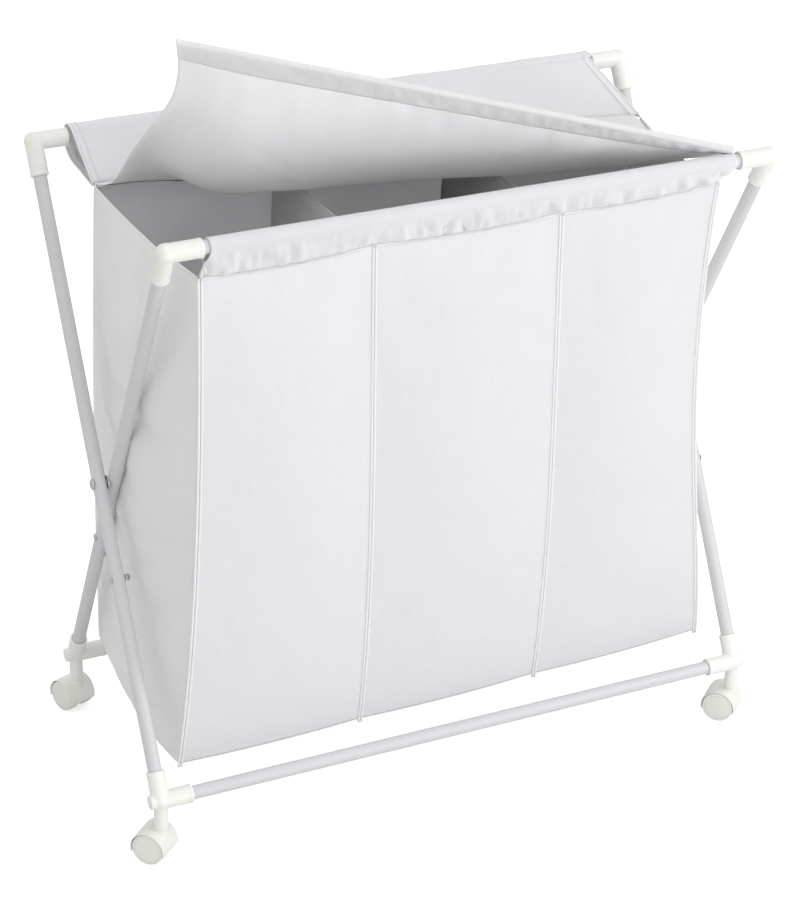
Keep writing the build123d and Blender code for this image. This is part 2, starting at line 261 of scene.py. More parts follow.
def turned(profile, centre, axis, steps):
    """A solid of revolution: (distance along the axis, radius) points, turned about the axis."""
    to_axis = Vector((0, 0, 1)).rotation_difference(axis).to_matrix()
    shape = bmesh.new()
    rings = []
    for along, radius in profile:
        if radius < 1e-6:
            rings.append([shape.verts.new(centre + to_axis @ Vector((0, 0, along)))])
            continue
        rings.append([shape.verts.new(centre + to_axis @ Vector((
            radius * cos(2 * pi * k / steps), radius * sin(2 * pi * k / steps), along)))
            for k in range(steps)])
    for low, high in zip(rings, rings[1:]):
        for k in range(steps):
            corners = [low[k % len(low)], low[(k + 1) % len(low)],
                       high[(k + 1) % len(high)], high[k % len(high)]]
            shape.faces.new(list(dict.fromkeys(corners)))
    bmesh.ops.recalc_face_normals(shape, faces=shape.faces)
    return shape


# From the inner face's hub to the outer face: tread, rolled edge, ring groove and raised centre.
wheel_profile = (
    (5.2, 2.6), (5.2, 6.4), (5.4, 6.8), (12.6, 7.0), (13.0, 7.4), (13.0, 15.9), (12.6, 16.3),
    (5.6, 16.5), (5.2, 16.9), (5.1, 17.6), (5.4, 18.5), (6.2, 19.1), (7.4, 19.3), (16.2, 19.3),
    (17.4, 19.1), (18.2, 18.6), (18.65, 17.8), (18.7, 17.0), (18.6, 16.75), (17.95, 16.6),
    (17.9, 16.3), (17.95, 16.0), (18.6, 15.85), (18.75, 15.6), (18.85, 12.0), (18.95, 6.0), (19.0, 0.0))

joints = {joint["name"]: joint for joint in frame["joints"]}
for place in caster_places:
    hood = moulding(f"{place}_caster_hood", f"{place}_hood_moulding", 0.0007, 4, caster_plastic)
    finish_piece(hood, f"{place}_caster", "caster_hood", f"{place}_caster_hood")
    roll = joints[f"{place}_roll"]
    hub, axle = Vector(roll["pos_m"]), Vector(roll["axis"])
    discs = bmesh.new()
    for side in (-1, 1):
        disc = turned([(along / 1000, radius / 1000) for along, radius in wheel_profile],
                      hub, axle * side, 72)
        made = bpy.data.meshes.new("disc")
        disc.to_mesh(made)
        disc.free()
        discs.from_mesh(made)
    mesh = bpy.data.meshes.new(f"{place}_discs")
    discs.to_mesh(mesh)
    discs.free()
    wheels = add_object(f"{place}_discs", mesh, wheel_nylon)
    finish_piece(wheels, f"{place}_wheels", "caster_wheel", f"{place}_caster_wheels")

# ---- Bolts, washers, stems and axles ----
# Zinc-plated steel: a domed bolt with an acorn nut turns in each pivot, a smaller one pins the
# halves of each leg, and the caster stems and axles are plain pins.


def plated_group():
    """Zinc plate: soft crystalline mottling and rubbed streaks."""
    tree, given, result = new_group(
        "zinc plate",
        (("Colour", "NodeSocketColor", (0.6, 0.6, 0.6, 1)), ("Roughness", "NodeSocketFloat", 0.3)),
        (("Colour", "NodeSocketColor"), ("Roughness", "NodeSocketFloat"), ("Height", "NodeSocketFloat")))
    place = tree.nodes.new("ShaderNodeTexCoord").outputs["Object"]
    mottle = grain(tree, place, 350.0, 3.0)
    scratch = grain(tree, place, 1500.0, 2.0)
    shade = maths(tree, "MULTIPLY_ADD", mottle, 0.3, 0.85)
    tree.links.new(tinted(tree, given.outputs["Colour"], shade), result.inputs["Colour"])
    rough = maths(tree, "MULTIPLY_ADD", mottle, 0.2, given.outputs["Roughness"])
    tree.links.new(rough, result.inputs["Roughness"])
    tree.links.new(scratch, result.inputs["Height"])
    return tree


zinc = material("zinc plated steel", 0.25, plated_group(), (0.15, 0.00004), {"Metallic": 1.0},
                Colour=(0.60, 0.60, 0.61, 1))
for node in ("pivot_washers", "outer_leg_sleeves", "inner_leg_sleeves"):
    refinish(node, zinc)
for place in caster_places:
    refinish(f"{place}_caster_stem", zinc)
    refinish(f"{place}_caster_axle", zinc)

# Distance out from the seat, and radius: a low domed head, and an acorn nut's skirt and dome.
pivot_head = ((0.0, 3.0), (0.0, 6.5), (0.5, 6.5), (1.3, 6.0), (2.2, 4.6), (2.8, 2.6), (3.0, 0.0))
leg_head = ((0.0, 2.4), (0.0, 4.2), (0.3, 4.2), (0.9, 3.8), (1.5, 2.8), (1.9, 1.5), (2.0, 0.0))
acorn_dome = ((0.0, 5.2), (0.6, 5.1), (1.9, 4.4), (3.0, 3.0), (3.6, 1.5), (3.8, 0.0))


def bolt_group(node, name, head, head_depth, nut_share, body):
    """A bolt and an acorn nut on each side, in the places that the CAD node gives."""
    low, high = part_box(node)
    seat = (low + high) / 2
    shape = bmesh.new()
    nut_seat = 0.0012
    nut_edge = 0.0032
    inner = min(abs(v.co.x - seat.x) for v in frame["nodes"][node].data.vertices)
    outer = high.x - seat.x - head_depth
    for side in (-1, 1):
        outward = Vector((side, 0, 0))
        parts = [
            ([(a / 1000, r / 1000) for a, r in head], seat + outward * outer, outward, 40),
            ([(a / 1000 * nut_share, r / 1000 * nut_share) for a, r in acorn_dome],
             seat + outward * (inner + nut_seat), -outward, 32),
            ([(0, 0), (0, head[0][1] / 1000), (outer - inner, head[0][1] / 1000), (outer - inner, 0)],
             seat + outward * inner, outward, 24),
            ([(0, 0), (0, 0.0048 * nut_share), (0.0006, 0.0058 * nut_share),
              (nut_edge, 0.0058 * nut_share), (nut_edge + 0.0006, 0.0050 * nut_share),
              (nut_edge + 0.0006, 0)], seat + outward * (inner + nut_seat), outward, 6)]
        for profile, start, axis, steps in parts:
            made = bpy.data.meshes.new("part")
            turned(profile, start, axis, steps).to_mesh(made)
            shape.from_mesh(made)
    mesh = bpy.data.meshes.new(name)
    shape.to_mesh(mesh)
    shape.free()
    piece = add_object(name, mesh, zinc)
    finish_piece(piece, body, "zinc_steel", node)
    piece.data.set_sharp_from_angle(angle=radians(35))


bolt_group("pivot_bolts", "pivot_bolts_and_nuts", pivot_head, 0.0028, 1.0, "outer_frame")
for frame_name in ("outer", "inner"):
    bolt_group(f"{frame_name}_leg_bolts", f"{frame_name}_leg_bolts_and_nuts", leg_head, 0.0020, 0.8,
               f"{frame_name}_frame")

# ---- Front panel ----
# Plain-woven white polyester, cut in three gores. It hangs from the front casing's seam, bows
# out with the load and is drawn in at the foot, and each gore is puffed between its seams.


def centre_of(node):
    low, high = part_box(node)
    return (low + high) / 2


front_rail, back_rail = centre_of("inner_top_rail"), centre_of("outer_top_rail")
middle = (front_rail + back_rail) / 2
rail_z = middle.z


def placed(points):
    """Points given in millimetres from the middle of the frames, in the object's frame."""
    return np.asarray(points, float) / 1000 + np.array((middle.x, middle.y, 0.0))


def grid_mesh(name, points, flat):
    """Quads through rows of points, with the cloth's own flat coordinates as the UV map."""
    rows, columns = points.shape[:2]
    mesh = bpy.data.meshes.new(name)
    faces = [(r * columns + c, r * columns + c + 1, (r + 1) * columns + c + 1, (r + 1) * columns + c)
             for r in range(rows - 1) for c in range(columns - 1)]
    mesh.from_pydata(points.reshape(-1, 3).tolist(), [], faces)
    layer = mesh.uv_layers.new(name="flat")
    corner = np.empty(len(mesh.loops), int)
    mesh.loops.foreach_get("vertex_index", corner)
    layer.data.foreach_set("uv", flat.reshape(-1, 2)[corner].ravel())
    return mesh


def shares(count, **options):
    """Even steps from 0 to 1."""
    return np.linspace(0, 1, count, **options)


def run_lengths(points):
    """Distances along the rows and down the columns of a grid, as flat coordinates."""
    across = np.linalg.norm(np.diff(points, axis=1), axis=2)
    down = np.linalg.norm(np.diff(points, axis=0), axis=2)
    u = np.concatenate([np.zeros((len(points), 1)), np.cumsum(across, 1)], 1)
    v = np.concatenate([np.zeros((1, points.shape[1])), np.cumsum(down, 0)], 0)
    return np.stack([u, v], 2)


def cloth_piece(name, points, finish, flat=None):
    """A single layer of cloth. Its flat coordinates follow its own lengths unless they are given."""
    flat = run_lengths(points) if flat is None else flat
    return add_object(name, grid_mesh(name, points, flat), finish)


def settle(piece, pinned, frames, spare=0.0, gravity=1.0, bending=0.4, cut=None):
    """The sheet hangs as cloth from its sewn points, then keeps the shape that it takes."""
    scene = bpy.context.scene
    group = piece.vertex_groups.new(name="sewn")
    group.add([int(k) for k in pinned], 1.0, "REPLACE")
    if cut is not None:
        piece.shape_key_add(name="placed")
        key = piece.shape_key_add(name="cut")
        key.data.foreach_set("co", cut.ravel())
    cloth = piece.modifiers.new("cloth", "CLOTH")
    settings = cloth.settings
    settings.vertex_group_mass = "sewn"
    settings.quality = 6
    settings.mass = 0.01
    settings.tension_stiffness = settings.compression_stiffness = 30
    settings.shear_stiffness = 12
    settings.bending_stiffness = bending
    settings.air_damping = 3
    settings.shrink_min = -spare
    settings.effector_weights.gravity = gravity
    if cut is not None:
        settings.rest_shape_key = key
    cloth.point_cache.frame_start = 1
    cloth.point_cache.frame_end = frames
    for step in range(1, frames + 1):
        scene.frame_set(step)
    applied(piece)
    scene.frame_set(1)
    piece.vertex_groups.clear()
    return piece


def weave_group():
    """Plain weave in the cloth's flat coordinates: crossed threads, thick slubs and a faint drift."""
    tree, given, result = new_group(
        "plain weave",
        (("Colour", "NodeSocketColor", (0.8, 0.8, 0.8, 1)), ("Roughness", "NodeSocketFloat", 0.85),
         ("Thread pitch", "NodeSocketFloat", 0.0006), ("Slub", "NodeSocketFloat", 1.0)),
        (("Colour", "NodeSocketColor"), ("Roughness", "NodeSocketFloat"), ("Height", "NodeSocketFloat")))
    calc, join = partial(maths, tree), tree.links.new
    flat = tree.nodes.new("ShaderNodeUVMap")
    flat.uv_map = "flat"
    split = tree.nodes.new("ShaderNodeSeparateXYZ")
    join(flat.outputs["UV"], split.inputs[0])
    turn = calc("DIVIDE", pi, given.outputs["Thread pitch"])
    warp = calc("SINE", calc("MULTIPLY", split.outputs["X"], turn))
    weft = calc("SINE", calc("MULTIPLY", split.outputs["Y"], turn))
    over = calc("MULTIPLY_ADD", calc("MULTIPLY", warp, weft), 0.5, 0.5)
    threads = calc("ADD",
                    calc("MULTIPLY", calc("ABSOLUTE", warp), over),
                    calc("MULTIPLY", calc("ABSOLUTE", weft),
                          calc("SUBTRACT", 1.0, over)))
    slubs = []
    for along, across in ((18.0, 900.0), (900.0, 18.0)):
        stretch = tree.nodes.new("ShaderNodeCombineXYZ")
        join(calc("MULTIPLY", split.outputs["X"], along), stretch.inputs[0])
        join(calc("MULTIPLY", split.outputs["Y"], across), stretch.inputs[1])
        slubs.append(grain(tree, stretch.outputs[0], 1.0, 2.0))
    slub = calc("MULTIPLY", calc("SUBTRACT", calc("ADD", *slubs), 1.0),
                 given.outputs["Slub"])
    broad = grain(tree, flat.outputs["UV"], 7.0, 3.0)
    shade = calc("ADD", calc("MULTIPLY_ADD", slub, 0.07, 0.975),
                  calc("MULTIPLY", broad, 0.03))
    join(tinted(tree, given.outputs["Colour"], shade), result.inputs["Colour"])
    rough = calc("MULTIPLY_ADD", slub, 0.1, given.outputs["Roughness"])
    join(rough, result.inputs["Roughness"])
    join(calc("MULTIPLY_ADD", slub, 0.8, threads), result.inputs["Height"])
    return tree


weave = weave_group()


def cloth_finish(name, colour, slub):
    """Matt cloth with a soft sheen, which lets a little light through."""
    surface = {"Sheen Weight": 0.12, "Sheen Roughness": 0.5, "Specular IOR Level": 0.25,
               "Subsurface Weight": 0.5, "Subsurface Radius": (1.0, 1.0, 1.0), "Subsurface Scale": 0.005}
    return material(name, 0.86, weave, (0.35, 0.00012), surface, Colour=(*colour, 1), Slub=slub)


panel_cloth = cloth_finish("panel cloth", (0.83, 0.835, 0.865), 1.0)

front_seam_y = -190.0
scallop = 4.0
# Where the front seams stand, as x at the top and at the foot: edge, two gore seams, edge.
front_seams = ((-326.0, -337.0), (-127.0, -108.0), (96.0, 123.0), (294.0, 350.0))
seam_heights = (716.0, 721.0, 722.0, 727.0)
foot_heights = (90.0, 93.0, 98.0, 106.0)
edge_waist = (0.0, 0.0, 0.0, -24.0)


def front_seam_x(index, down):
    """x of a seam at a share of the way down; the right edge is drawn in at its waist."""
    top, foot = front_seams[index]
    lean = down ** 1.6
    return top + (foot - top) * lean + edge_waist[index] * np.sin(pi * down) * (1 - down) ** 0.4


def front_y(down):
    """The bow of the front panel: nearly upright at the top and drawn back at the foot."""
    return front_seam_y + 22 * down ** 1.5 + 43 * down ** 3.2


def seam_height(x):
    """The casing's seam sags a little between the gore seams."""
    tops = [seam[0] for seam in front_seams]
    share = np.interp(x, tops, range(4)) % 1
    return np.interp(x, tops, seam_heights) - scallop * np.sin(pi * share)


def front_grid(across, rows):
    """Rows of points down the front panel, from the casing's seam to the foot."""
    down = shares(rows)[:, None]
    share = np.linspace(0, 3, 3 * across + 1)
    gore = np.minimum(share.astype(int), 2)
    part = (share - gore)[None, :]
    edges = np.stack([front_seam_x(k, down[:, 0]) for k in range(4)], 1)
    x = edges[:, gore] * (1 - part) + edges[:, gore + 1] * part
    puff = np.sin(pi * part) ** 0.8 * (6 * np.sin(pi * down ** 0.8) + 2)
    y = front_y(down) - puff
    top = seam_height(x[0])
    foot = np.interp(share, range(4), foot_heights) - 1.5 * np.sin(pi * part[0])
    z = top * (1 - down) + foot * down
    return placed(np.stack([x, y, z], 2))


front_points = front_grid(30, 84)
front_panel = cloth_piece("front_panel_cloth", front_points, panel_cloth)
rows, columns = front_points.shape[:2]
sewn = [r * columns + c for r in range(rows) for c in range(columns)
        if r in (0, rows - 1) or c % 30 == 0]
settle(front_panel, sewn, 20, spare=0.0012, gravity=0.3)


def thicken(piece, thickness, levels):
    """A single-layer sheet becomes real cloth with two faces."""
    if levels:
        smooth = piece.modifiers.new("smooth", "SUBSURF")
        smooth.levels = smooth.render_levels = levels
        smooth.uv_smooth = "PRESERVE_CORNERS"
    solid = piece.modifiers.new("thickness", "SOLIDIFY")
    solid.thickness = thickness
    solid.offset = 0
    return applied(piece)


def read_grid(piece, rows, columns):
    """The settled sheet's points, as rows and columns."""
    points = np.empty(rows * columns * 3)
    piece.data.vertices.foreach_get("co", points)
    return points.reshape(rows, columns, 3)


front_settled = read_grid(front_panel, rows, columns)
thicken(front_panel, 0.0011, 1)
finish_piece(front_panel, "bag_front", "panel_cloth", "front_panel")

# ---- Front casing ----
# A folded strip of the same cloth is wrapped over the front rail and sewn to the panel below
# it. The strip is longer than the seam, so it puckers into small soft gathers.
casing_cloth = cloth_finish("casing cloth", (0.83, 0.835, 0.86), 0.8)
cloth_gap = 0.9


def belt(centre, radius, tip, tip_radius, counts):
    """Points round a loop that hangs from a rail: up its near layer, over, and down the far one."""
    gap_y, gap_z = tip[0] - centre[0], tip[1] - centre[1]
    towards = atan2(gap_z, gap_y)
    wrap = acos((radius - tip_radius) / hypot(gap_y, gap_z))
    near, far = towards - wrap, towards + wrap - 2 * pi
    arc = [(centre[0] + radius * cos(a), centre[1] + radius * sin(a))
           for a in np.linspace(near, far, counts[1])]
    near_tip = (tip[0] + tip_radius * cos(near), tip[1] + tip_radius * sin(near))
    far_tip = (tip[0] + tip_radius * cos(far), tip[1] + tip_radius * sin(far))
    up = [tuple(np.array(near_tip) * (1 - t) + np.array(arc[0]) * t)
          for t in shares(counts[0], endpoint=False)]
    down = [tuple(np.array(arc[-1]) * (1 - t) + np.array(far_tip) * t)
            for t in shares(counts[2] + 1)[1:]]
    return np.array(up + arc + down)


def gathers(x, height, seed, pitch):
    """Uneven puckers along a sewn strip: x in millimetres, height 0 at the stitches and 1 away."""
    return np.array([noise.noise(Vector((xx / pitch + 0.25 * hh, 0.7 * hh, seed)))
                     + 0.5 * noise.noise(Vector((2.1 * xx / pitch, 1.3 * hh, seed + 7)))
                     for xx, hh in zip(x.ravel(), height.ravel())]).reshape(x.shape)


def casing_points(ends, centre, radius, tips, counts, stations, seed, depth, pitch):
    """A gathered casing along a rail; tips gives each station's seam point."""
    x_line = np.linspace(ends[0], ends[1], stations)
    grid = []
    for x, (tip_x, tip_y, tip_z) in zip(x_line, tips):
        section = belt(centre, radius, (tip_y, tip_z), 1.0, counts)
        share = np.zeros(len(section))
        share[:counts[0]] = np.linspace(1, 0, counts[0], endpoint=False)
        share[-counts[2]:] = shares(counts[2] + 1)[1:]
        slanted = x + (tip_x - x) * share ** 1.2
        grid.append(np.stack([slanted, section[:, 0], section[:, 1]], 1))
    grid = np.array(grid).transpose(1, 0, 2)
    run = np.gradient(grid, axis=0)
    out = np.stack([np.zeros_like(run[..., 0]), -run[..., 2], run[..., 1]], 2)
    out /= np.linalg.norm(out, axis=2, keepdims=True) + 1e-9
    level = np.zeros(grid.shape[:2])
    level[:counts[0]] = shares(counts[0])[:, None]
    level[-counts[2]:] = np.linspace(1, 0, counts[2])[:, None]
    level[counts[0]:-counts[2]] = 1
    strength = np.sin(pi * np.clip(level, 0, 1) ** 0.6) + 0.18 * (level < 0.05)
    ripple = gathers(grid[..., 0], level, seed, pitch) + 0.12
    return grid + out * (ripple * strength * depth)[..., None]


stations = 260
front_line = np.linspace(front_seams[0][0] + 1, front_seams[3][0] - 1, stations)
front_tips = np.stack([front_line, np.full(stations, front_seam_y + 0.5),
                       seam_height(front_line) + 1.0], 1)
counts = (12, 20, 10)
front_sleeve = placed(casing_points((-313, 313), (-185.0, rail_z * 1000), 8 + cloth_gap + 0.5, front_tips,
                                    counts, stations, 3.0, 8.0, 17.0))
casing = cloth_piece("front_casing_cloth", front_sleeve, casing_cloth)
thicken(casing, 0.0010, 0)
finish_piece(casing, "bag_front", "casing_cloth", "front_casing")

# ---- Seam piping and stitches ----
# Every vertical front seam is a pair of turned edges in bright binding with a groove between
# them; the casing's seam is a thin folded edge. All of them are topstitched in white thread.
binding = cloth_finish("binding tape", (0.87, 0.87, 0.885), 0.5)
thread = material("sewing thread", 0.6, handled, (0.3, 0.00005), {},
                  Colour=(0.86, 0.86, 0.88, 1), Texture_scale=3000.0, Dulling=0.1)


def surface_normals(points):
    """Unit normals over a grid of points."""
    normal = np.cross(np.gradient(points, axis=1), np.gradient(points, axis=0))
    return normal / (np.linalg.norm(normal, axis=2, keepdims=True) + 1e-12)


def welt(line, normal, width, height, segments=8):
    """A rounded cord of cloth laid along a line, standing on the surface below it."""
    line = np.asarray(line)
    normal = np.broadcast_to(np.asarray(normal), line.shape)
    run = np.gradient(line, axis=0)
    run /= np.linalg.norm(run, axis=1, keepdims=True)
    side = np.cross(run, normal)
    turn = np.linspace(0, 2 * pi, segments, endpoint=False)
    ring = [line + side * (width / 2 * cos(a)) + normal * (height / 2 * sin(a)) for a in turn]
    shape = bmesh.new()
    verts = [[shape.verts.new(ring[k][i]) for k in range(segments)] for i in range(len(line))]
    for low, high in zip(verts, verts[1:]):
        for k in range(segments):
            j = (k + 1) % segments
            shape.faces.new((low[k], low[j], high[j], high[k]))
    shape.faces.new(verts[0])
    shape.faces.new(verts[-1])
    bmesh.ops.recalc_face_normals(shape, faces=shape.faces)
    return shape


def joined(name, shapes, finish):
    """Several shapes as one piece. Its flat coordinates follow its length."""
    whole = bmesh.new()
    for shape in shapes:
        made = bpy.data.meshes.new("part")
        shape.to_mesh(made)
        shape.free()
        whole.from_mesh(made)
        bpy.data.meshes.remove(made)
    layer = whole.loops.layers.uv.new("flat")
    for face in whole.faces:
        for corner in face.loops:
            corner[layer].uv = (corner.vert.co.x + corner.vert.co.y, corner.vert.co.z)
    mesh = bpy.data.meshes.new(name)
    whole.to_mesh(mesh)
    whole.free()
    return add_object(name, mesh, finish)


def stitch_tree():
    """Geometry nodes: short capsules of thread at a set pitch along curves."""
    tree = bpy.data.node_groups.new("topstitch", "GeometryNodeTree")
    add, join = tree.nodes.new, tree.links.new
    tree.interface.new_socket("Geometry", in_out="INPUT", socket_type="NodeSocketGeometry")
    for label, value in (("Pitch", 0.003), ("Stitch length", 0.0023), ("Thread", 0.00045)):
        tree.interface.new_socket(label, in_out="INPUT", socket_type="NodeSocketFloat").default_value = value
    tree.interface.new_socket("Finish", in_out="INPUT", socket_type="NodeSocketMaterial")
    tree.interface.new_socket("Geometry", in_out="OUTPUT", socket_type="NodeSocketGeometry")
    given, result = add("NodeGroupInput"), add("NodeGroupOutput")
    spaced = add("GeometryNodeResampleCurve")
    spaced.mode = "LENGTH"
    join(given.outputs["Geometry"], spaced.inputs["Curve"])
    join(given.outputs["Pitch"], spaced.inputs["Length"])
    capsule = add("GeometryNodeMeshUVSphere")
    set_inputs(capsule, {"Segments": 6, "Rings": 4, "Radius": 0.5})
    sizes = add("ShaderNodeCombineXYZ")
    join(given.outputs["Thread"], sizes.inputs[0])
    join(given.outputs["Thread"], sizes.inputs[1])
    join(given.outputs["Stitch length"], sizes.inputs[2])
    aim = add("FunctionNodeAlignRotationToVector")
    aim.axis = "Z"
    join(add("GeometryNodeInputTangent").outputs[0], aim.inputs["Vector"])
    spread = add("GeometryNodeInstanceOnPoints")
    join(spaced.outputs["Curve"], spread.inputs["Points"])
    join(capsule.outputs["Mesh"], spread.inputs["Instance"])
    join(aim.outputs["Rotation"], spread.inputs["Rotation"])
    join(sizes.outputs[0], spread.inputs["Scale"])
    real = add("GeometryNodeRealizeInstances")
    join(spread.outputs["Instances"], real.inputs[0])
    dress = add("GeometryNodeSetMaterial")
    join(real.outputs[0], dress.inputs["Geometry"])
    join(given.outputs["Finish"], dress.inputs["Material"])
    join(dress.outputs["Geometry"], result.inputs[0])
    return tree


topstitch = stitch_tree()


def stitches(name, lines, body, slot):
    """Rows of stitches along lines of points, as one piece that rides a body."""
    curve = bpy.data.curves.new(name, "CURVE")
    curve.dimensions = "3D"
    for line in lines:
        spline = curve.splines.new("POLY")
        spline.points.add(len(line) - 1)
        for point, co in zip(spline.points, line):
            point.co = (*co, 1)
    rows_of = linked(f"{name}_lines", curve)
    sew = rows_of.modifiers.new("sew", "NODES")
    sew.node_group = topstitch
    sockets = {item.name: item.identifier for item in topstitch.interface.items_tree
               if item.in_out == "INPUT"}
    sew[sockets["Finish"]] = thread
    graph = bpy.context.evaluated_depsgraph_get()
    mesh = bpy.data.meshes.new_from_object(rows_of.evaluated_get(graph), depsgraph=graph)
    bpy.data.objects.remove(rows_of)
    return finish_piece(add_object(name, mesh, thread), body, slot)


front_normals = surface_normals(front_settled)
if front_normals[..., 1].mean() > 0:
    front_normals = -front_normals
welts, gore_stitches = [], []
for index, column in enumerate((0, 30, 60, 90)):
    line = front_settled[:, column]
    normal = front_normals[:, column]
    normal = (normal + np.array((0, -1.0, 0))) / 2
    normal /= np.linalg.norm(normal, axis=1, keepdims=True)
    for shift in (-0.0017, 0.0017):
        sidle = 0.0018 if column == 0 else -0.0018 if column == 90 else 0
        offset = np.array((shift + sidle, 0, 0)) + normal * 0.0008
        tail = line[-1] + offset[-1] + np.array((0, 0, -0.004))
        welts.append(welt(np.vstack([line + offset, tail]), np.vstack([normal, normal[-1]]), 0.0030, 0.0032))
    aside = 0.0048 if column < 90 else -0.0048
    gore_stitches.append(line + np.array((aside, 0, 0)) + normal * 0.0010)
casing_fold = np.stack([front_line, np.full(stations, front_seam_y - 0.9), seam_height(front_line) - 0.5], 1)
casing_fold = placed(casing_fold)
welts.append(welt(casing_fold, (0.0, -1.0, 0.0), 0.0028, 0.0020))
piping = joined("front_piping_cloth", welts, binding)
finish_piece(piping, "bag_front", "binding_tape", "front_piping")
stitches("front_stitches", [*gore_stitches, casing_fold + np.array((0, -0.0011, 0.0032))],
         "bag_front", "binding_tape")

# ---- Back panel, sides, dividers and bottom ----
# The rest of the bag is the same cloth in a single layer. The sides and dividers are sewn to
# the front and back, with a turned hem along the top; the loose width falls into soft folds.
# Painted light: this copy of the bag cloth is painted lighter than the front panel's cloth, to lift the
# shade inside the bag on the sides, dividers and bottom.
inner_cloth = cloth_finish("side cloth", (0.89, 0.885, 0.88), 1.0)
back_seam = (127.0, 706.0)
back_foot = (150.0, 112.0)


def back_pull(x):
    """The lid draws the right end of the back seam forwards."""
    return 80 * np.clip((x - 60) / 270, 0, 1) ** 2


def back_x(share, down):
    """x across the back panel, which widens a little towards its foot."""
    left, right = -327 - 8 * down, 330 + 8 * down
    return left + (right - left) * share


def back_grid(columns, rows):
    """Rows of points down the back panel, from the seam to the foot."""
    down = shares(rows)[:, None]
    share = shares(columns)[None, :]
    x = back_x(share, down)
    y = back_seam[0] + (back_foot[0] - back_seam[0]) * down + 10 * np.sin(pi * down) - \
        back_pull(x) * (1 - down) ** 2.2
    gore = (share * 3) % 1
    y = y + 5 * np.sin(pi * gore) * np.sin(pi * down)
    z = (back_seam[1] + back_pull(x) * 0.2) * (1 - down) + back_foot[1] * down + 0 * x
    return placed(np.stack([x + 0 * z, y, z], 2))


back_columns, back_rows = 79, 76
back_points = back_grid(back_columns, back_rows)
back_panel = cloth_piece("back_panel_cloth", back_points, panel_cloth)
sewn = [r * back_columns + c for r in range(back_rows) for c in range(back_columns)
        if r in (0, back_rows - 1) or c % 26 == 0]
settle(back_panel, sewn, 20, spare=0.003, gravity=0.3)
back_settled = read_grid(back_panel, back_rows, back_columns)
thicken(back_panel, 0.0011, 1)
finish_piece(back_panel, "bag_back", "panel_cloth", "back_panel")


def wall_grid(front_edge, back_edge, rows, columns, belly, hem_sag, foot_sag):
    """A side or divider between two sewn edges. Its foot and its hem sag between them."""
    share = shares(columns)[None, :, None]
    down = shares(rows)

    def along(edge):
        length = np.concatenate([[0], np.cumsum(np.linalg.norm(np.diff(edge, axis=0), axis=1))])
        return np.stack([np.interp(down, length / length[-1], edge[:, k]) for k in range(3)], 1)

    front, back = along(front_edge)[:, None], along(back_edge)[:, None]
    grid = front * (1 - share) + back * share
    bow = np.sin(pi * share[..., 0]) * np.sin(pi * down ** 0.9)[:, None]
    grid[..., 0] += belly / 1000 * bow
    hang = np.sin(pi * share[..., 0])
    grid[..., 2] -= hem_sag / 1000 * hang * (1 - down[:, None]) ** 3
    grid[..., 2] -= foot_sag / 1000 * hang * down[:, None] ** 3
    return grid


wall_rows, wall_columns = 76, 40
walls = {}
for name, front_column, back_column, belly, spare in (
        ("side_panel_left", 0, 0, -6.0, 0.016), ("divider_left", 30, 26, 2.0, 0.006),
        ("divider_right", 60, 52, -2.0, 0.006), ("side_panel_right", 90, 78, 6.0, 0.016)):
    inner_edge = 0.0012
    foot_sag = 22.0 if "side" in name else 6.0
    points = wall_grid(front_settled[:, front_column] + np.array((0, inner_edge, 0)),
                       back_settled[:, back_column] - np.array((0, inner_edge, 0)),
                       wall_rows, wall_columns, belly, 6.0, foot_sag)
    wall = cloth_piece(f"{name}_cloth", points, inner_cloth)
    sewn = [r * wall_columns + c for r in range(wall_rows) for c in range(wall_columns)
            if c in (0, wall_columns - 1) or r == wall_rows - 1]
    settle(wall, sewn, 30, spare=spare, gravity=0.6)
    # The doubled hem is stiff, so it runs nearly straight from front to back.
    stiff = np.clip(1 - np.arange(wall_rows) / 16, 0, 1)[:, None] ** 1.5
    settled_wall = read_grid(wall, wall_rows, wall_columns)
    settled_wall[..., 0] += (points[..., 0] - settled_wall[..., 0]) * stiff
    wall.data.vertices.foreach_set("co", settled_wall.ravel())
    walls[name] = settled_wall
    thicken(wall, 0.0011, 1)
    finish_piece(wall, "bag_back", "inner_cloth", name)

# The turned hem along the top of each wall: a folded band, stitched near its lower edge.
hem_width = 0.018
for name, settled in walls.items():
    hem_row = int(round(hem_width / np.linalg.norm(settled[1:, 20] - settled[:-1, 20], axis=1).mean()))
    face = surface_normals(settled)
    lines = [settled[hem_row] + face[hem_row] * 0.0009 * side for side in (-1, 1)]
    hem = joined(f"{name}_hem", [welt(settled[0], (1.0, 0.0, 0.0), 0.0022, 0.0024)], binding)
    finish_piece(hem, "bag_back", "inner_cloth")
    sewing = stitches(f"{name}_stitches", lines, "bag_back", "inner_cloth")
    walls[name] = (settled, hem, sewing)



def resampled(rows_of_points, count):
    """Rows interpolated to another count."""
    stacked = np.asarray(rows_of_points)
    old, new = shares(len(stacked)), shares(count)
    flatter = stacked.reshape(len(stacked), -1)
    return np.stack([np.interp(new, old, flatter[:, k]) for k in range(flatter.shape[1])], 1).reshape(
        count, *stacked.shape[1:])


